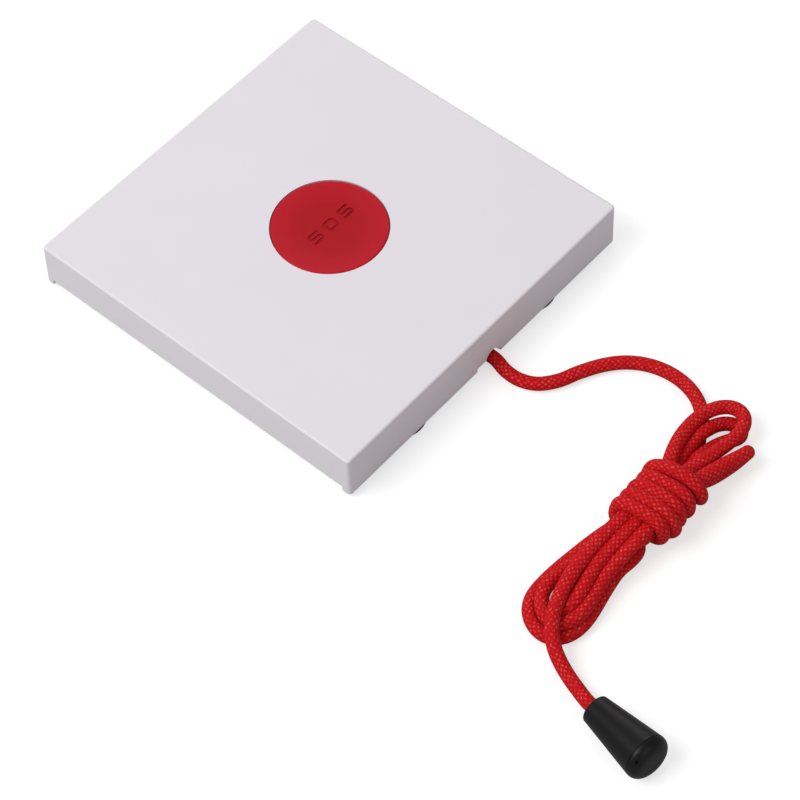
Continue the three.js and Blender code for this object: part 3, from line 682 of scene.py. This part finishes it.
# Moulded plastic: a fine spark-eroded grain breaks the highlight, and the colour drifts a little.
def mouldedPlastic(name, colour, darker, roughness, grain, depth, specular=0.5):
    material, tree, shader = newMaterial(name)
    driftSize, patchSize = 18, 4  # mm
    uneven = 0.05
    drift = noise(tree, driftSize, 3)
    tree.links.new(blendColours(tree, drift, darker, colour), shader.inputs["Base Color"])
    patches = addNode(tree, "ShaderNodeMapRange", {
        "Value": noise(tree, patchSize, 4),
        "To Min": roughness - uneven, "To Max": roughness + uneven,
    })
    tree.links.new(patches.outputs[0], shader.inputs["Roughness"])
    tree.links.new(bump(tree, noise(tree, grain, 3), depth), shader.inputs["Normal"])
    shader.inputs["IOR"].default_value = 1.5
    shader.inputs["Specular IOR Level"].default_value = specular
    return material


# The cap's red is painted brighter towards its rim, a painted highlight for the light on its
# dished face. The floor of the letters is painted darker, painted shade in the recess.
def capPlastic(name):
    material = mouldedPlastic(
        name, "#b2141d", "#ac121b", roughness=0.45, grain=0.3, depth=0.008, specular=0.13,
    )
    # From here out to the rim the face is painted brighter (painted highlight); near the floor of
    # the letters it is painted darker (painted shade).
    paintedRimLightFrom = 6  # mm from the middle
    floorFade = (0.17, 0.05)  # mm above the floor of the letters
    tree = material.node_tree
    shader = tree.nodes["Principled BSDF"]
    parts = addNode(tree, "ShaderNodeSeparateXYZ", {0: places(tree)})
    flat = addNode(tree, "ShaderNodeCombineXYZ", {0: parts.outputs[0], 1: parts.outputs[1]})
    distance = addNode(tree, "ShaderNodeVectorMath", {0: flat.outputs[0]}, operation="LENGTH")
    nearRim = addNode(tree, "ShaderNodeMapRange", {
        "Value": distance.outputs["Value"], "From Min": paintedRimLightFrom * mm,
        "From Max": cap["radius"] * mm,
    })
    paintedLetterShade = addNode(tree, "ShaderNodeMapRange", {
        "Value": parts.outputs[2], "From Min": (letters["floorZ"] + floorFade[0]) * mm,
        "From Max": (letters["floorZ"] + floorFade[1]) * mm,
    })
    face = shader.inputs["Base Color"].links[0].from_socket
    # be1929 is the painted highlight towards the rim, and #a01420 the painted shade on the floor
    # of the letters.
    withPaintedRimLight = blendColours(tree, nearRim.outputs[0], face, "#be1929")
    colour = blendColours(tree, paintedLetterShade.outputs[0], withPaintedRimLight, "#a01420")
    tree.links.new(colour, shader.inputs["Base Color"])
    return material


# The powers shape a stitch: low ones make it broad and flat, high ones narrow it to a point.
braid = {
    "acrossPower": 1.6,
    "alongPower": 0.5,
    "risePower": 0.6,
    "highlightPower": 2.5,
    "depth": 0.1,  # mm
    # Noise patches that make the painted highlight stronger on some stitches than on others.
    "highlightPatch": {"size": 0.8, "from": 0.42, "to": 0.64, "most": 0.7},
}


# Round braid: two sets of strands cross, and each crossing stands up as a small stitch. Its crown
# is painted lighter, a painted highlight that is stronger on some stitches than others, and the
# gaps between stitches are painted darker, painted shade.
def braidedPolyester(name, colour, shade, light):
    material, tree, shader = newMaterial(name)
    uv = addNode(tree, "ShaderNodeUVMap", uv_map="stitches").outputs[0]
    parts = addNode(tree, "ShaderNodeSeparateXYZ", {0: uv})
    crowns, cells = [], []
    for operation in ("SUBTRACT", "ADD"):
        strand = calculate(tree, parts.outputs[0], parts.outputs[1], operation)
        across = calculate(tree, calculate(tree, strand, 0.0, "FRACT"), 0.5, "SUBTRACT")
        square = calculate(tree, calculate(tree, across, across, "MULTIPLY"), 4, "MULTIPLY")
        crowns.append(calculate(tree, 1, square, "SUBTRACT"))
        cells.append(calculate(tree, strand, 0.0, "FLOOR"))
    onTop = calculate(tree, calculate(tree, cells[0], cells[1]), 2, "FLOORED_MODULO")
    slants = []
    for narrow, broad in (crowns, reversed(crowns)):
        slants.append(calculate(
            tree, calculate(tree, narrow, braid["acrossPower"], "POWER"),
            calculate(tree, broad, braid["alongPower"], "POWER"), "MULTIPLY",
        ))
    stitch = addNode(tree, "ShaderNodeMix", {0: onTop, 2: slants[0], 3: slants[1]}).outputs[0]
    rise = calculate(tree, stitch, braid["risePower"], "POWER")
    patch = braid["highlightPatch"]
    highlightPatch = addNode(tree, "ShaderNodeMapRange", {
        "Value": noise(tree, patch["size"], 1), "From Min": patch["from"],
        "From Max": patch["to"], "To Min": 0.0, "To Max": patch["most"],
    }).outputs[0]
    paintedHighlights = calculate(tree, calculate(tree, stitch, braid["highlightPower"], "POWER"), highlightPatch, "MULTIPLY")
    # The gaps between stitches get the shade colour as painted shade; the light colour is then a
    # painted highlight on the stitch crowns.
    lower = blendColours(tree, rise, shade, colour)
    tree.links.new(blendColours(tree, paintedHighlights, lower, light), shader.inputs["Base Color"])
    tree.links.new(bump(tree, rise, braid["depth"]), shader.inputs["Normal"])
    shader.inputs["Roughness"].default_value = 0.7
    shader.inputs["Specular IOR Level"].default_value = 0.12
    return material


# The cover's cool white, and a greyer white for the parts behind it.
whiteAbs = mouldedPlastic(
    "whiteAbsSparkGrain", "#e8e3e9", "#e4dfe5", roughness=0.5, grain=0.35, depth=0.012,
)
offWhiteAbs = mouldedPlastic(
    "offWhiteAbsMoulded", "#dedbdd", "#d8d5d8", roughness=0.5, grain=0.4, depth=0.01,
)
redAbs = capPlastic("redAbsSatin")
# The pull end's deep black keeps a weak, satin highlight; the rubber has next to none.
blackAbs = mouldedPlastic(
    "blackAbsSatin", "#100e11", "#0c0b0e", roughness=0.42, grain=0.5, depth=0.008, specular=0.22,
)
blackNylon = mouldedPlastic(
    "blackNylonMoulded", "#1e1d1f", "#171618", roughness=0.5, grain=0.4, depth=0.012,
)
blackRubber = mouldedPlastic(
    "blackRubberMatt", "#1a191b", "#141315", roughness=0.8, grain=0.4, depth=0.02,
)
greenLaminate = mouldedPlastic(
    "greenSolderResist", "#1f5b3a", "#1a4e31", roughness=0.4, grain=0.6, depth=0.01,
)
# b2060b is painted shade for the gaps between stitches, and #f25a5a the painted highlight on the
# stitch crowns.
redBraid = braidedPolyester("redPolyesterBraid", "#d2141a", "#b2060b", "#f25a5a")


# Metal with fine wear, which spreads the highlight and dulls the colour in spots.
def wornMetal(name, colour, roughness):
    material, tree, shader = newMaterial(name)
    wearSize, wearDepth = 0.3, 0.006  # mm
    wear = noise(tree, wearSize, 4)
    tree.links.new(blendColours(tree, wear, colour, "#a8a9ab"), shader.inputs["Base Color"])
    tree.links.new(bump(tree, wear, wearDepth), shader.inputs["Normal"])
    shader.inputs["Metallic"].default_value = 1
    shader.inputs["Roughness"].default_value = roughness
    return material


nickelSteel = wornMetal("nickelPlatedSteel", "#c4c5c7", roughness=0.3)
springWire = wornMetal("drawnSpringWire", "#9a9ca0", roughness=0.35)

finishes = {
    "front_cover": whiteAbs, "back_plate": offWhiteAbs, "circuit_board": greenLaminate,
    "push_switch": blackNylon, "pull_switch": blackNylon, "battery_holder": blackNylon,
    "battery_cell": nickelSteel, "battery_clip": springWire, "radio_can": nickelSteel,
    "push_plunger": offWhiteAbs, "pull_slider": offWhiteAbs, "pull_plunger": offWhiteAbs,
    "button_spring": springWire, "pull_spring": springWire, "cord_knot": redBraid,
    "end_knot": redBraid,
}


def giveMaterial(piece, material):
    piece.data.materials.clear()
    piece.data.materials.append(material)


for name, piece in nodes.items():
    if name.startswith("foot_"):
        giveMaterial(piece, blackRubber)
    elif name.startswith("board_screw"):
        giveMaterial(piece, nickelSteel)
    elif name in finishes:
        giveMaterial(piece, finishes[name])
    if not piece.hide_render:
        shadeSmoothly(piece)
giveMaterial(cord, redBraid)
giveMaterial(buttonCap, redAbs)
giveMaterial(pullCone, blackAbs)
giveMaterial(pullPlug, blackAbs)

# Each spring gets a mesh of its own.
springs = {
    "button_spring": {
        "joint": "button_press", "axis": (0, 0, 1), "still": (0, 0, 6.05), "keep": 0.69,
    },
    "pull_spring": {
        "joint": "cord_pull", "axis": (0, 1, 0), "still": (1.8, -26.9, 5.5), "keep": 0.6,
    },
}
for name, spring in springs.items():
    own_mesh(nodes[name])
print("materials given")

# A pale floor under three soft lamps; places and sizes are in metres, powers in watts.
studio = {
    "world": 0.35,  # how strongly the surroundings light the object
    "floor": 0.5,
    "floorGlow": 0.62,  # only the camera sees it, so the floor looks nearly white
    "floorHalf": 3,
    "key": {"place": (-0.86, 0.5, 1.25), "size": 0.9, "power": 17.0},
    "fill": {"place": (-0.15, -1.3, 0.75), "size": 0.8, "power": 2.4},
    "rim": {"place": (0.95, 0.95, 0.5), "size": 0.9, "power": 5.0},
}


def addLamp(name, settings):
    data = bpy.data.lights.new(name, "AREA")
    data.size = settings["size"]
    data.energy = settings["power"]
    lamp = addToScene(name, data)
    lamp.location = settings["place"]
    lamp.rotation_euler = (-Vector(settings["place"])).to_track_quat("-Z", "Y").to_euler()


# The camera sees a white background, and the object gets less light from it.
def makeWorld():
    world = bpy.data.worlds.new("paleStudio")
    scene.world = world
    world.use_nodes = True
    tree = world.node_tree
    path = addNode(tree, "ShaderNodeLightPath")
    seen = calculate(tree, path.outputs["Is Camera Ray"], path.outputs["Is Transmission Ray"])
    background = tree.nodes["Background"]
    strength = addNode(tree, "ShaderNodeMapRange", {
        "Value": seen, "To Min": studio["world"], "To Max": 1.0,
    })
    background.inputs["Color"].default_value = (1, 1, 1, 1)
    tree.links.new(strength.outputs[0], background.inputs["Strength"])


def makeFloor():
    mesh = bmesh.new()
    bmesh.ops.create_grid(mesh, x_segments=1, y_segments=1, size=studio["floorHalf"])
    data = bpy.data.meshes.new("studioFloor")
    mesh.to_mesh(data)
    mesh.free()
    floor = addToScene("studioFloor", data)
    material, tree, shader = newMaterial("palePaper")
    path = addNode(tree, "ShaderNodeLightPath")
    glow = calculate(tree, path.outputs["Is Camera Ray"], studio["floorGlow"], "MULTIPLY")
    shader.inputs["Base Color"].default_value = (studio["floor"],) * 3 + (1,)
    shader.inputs["Roughness"].default_value = 0.9
    shader.inputs["Emission Color"].default_value = (1, 1, 1, 1)
    tree.links.new(glow, shader.inputs["Emission Strength"])
    giveMaterial(floor, material)


makeWorld()
makeFloor()
addLamp("keyLamp", studio["key"])
addLamp("fillLamp", studio["fill"])
addLamp("rimLamp", studio["rim"])
scene.view_settings.view_transform = "Standard"
print("studio made")
